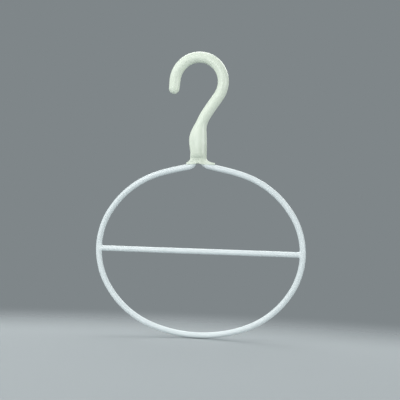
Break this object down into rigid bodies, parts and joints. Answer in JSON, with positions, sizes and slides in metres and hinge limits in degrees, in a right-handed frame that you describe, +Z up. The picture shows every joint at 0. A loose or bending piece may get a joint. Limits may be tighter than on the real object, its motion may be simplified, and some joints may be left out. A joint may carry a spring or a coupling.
{
  "type": "scarf hanger",
  "caption": "Oval ring of white coated steel wire with a crossbar, hung from a moulded ivory plastic hook; scarves fold over the bar or through the ring.",
  "frame": {"origin": "axis of the closet rail, at the centre of the hook's inner arc, on the middle plane of the hanger", "axes": "+Z up, from the ring towards the hook; +Y along the rail, from front to back; +X to the right seen from the front, away from the hook's mouth"},
  "size_m": [0.2, 0.013, 0.2658],
  "materials": {
    "hook_plastic": "injection moulded ivory polypropylene, soft gloss",
    "coating": "dipped white vinyl skin, satin",
    "steel_wire": "drawn mild steel wire, bare under its coating",
    "weld_steel": "upset resistance weld, bare under the coating"
  },
  "bodies": {
    "root": {"hook": "hook_plastic", "ring_wire": "steel_wire", "ring_coating": "coating", "crossbar_wire": "steel_wire", "crossbar_coating": "coating", "weld_left": "weld_steel", "weld_right": "weld_steel"}
  },
  "joints": []
}
